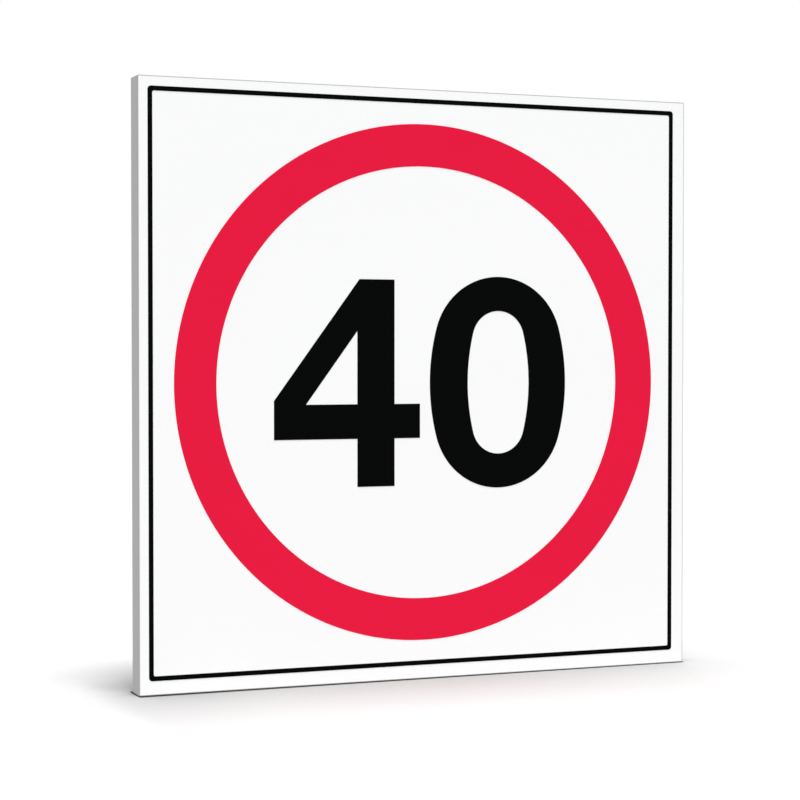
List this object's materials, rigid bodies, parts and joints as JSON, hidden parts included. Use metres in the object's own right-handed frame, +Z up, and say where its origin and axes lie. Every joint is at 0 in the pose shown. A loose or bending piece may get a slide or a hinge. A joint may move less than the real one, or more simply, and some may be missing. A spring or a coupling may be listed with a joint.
{
  "type": "speed limit sign",
  "caption": "Square speed limit sign: a thick white foam PVC board with a thin black border line, a red ring and black digits in cut film on its front.",
  "frame": {"origin": "middle of the board's foot: halfway across its width and its thickness, on the surface it stands on", "axes": "+Z up, +X to a reader's right along the face, -Y out of the printed front, +Y out of the bare back"},
  "size_m": [0.45, 0.0192, 0.45],
  "materials": {
    "board": "matte",
    "black_film": "satin",
    "red_film": "satin"
  },
  "bodies": {
    "root": {"panel": "board", "border_line": "black_film", "red_ring": "red_film", "digit_four": "black_film", "digit_zero": "black_film"}
  },
  "joints": []
}
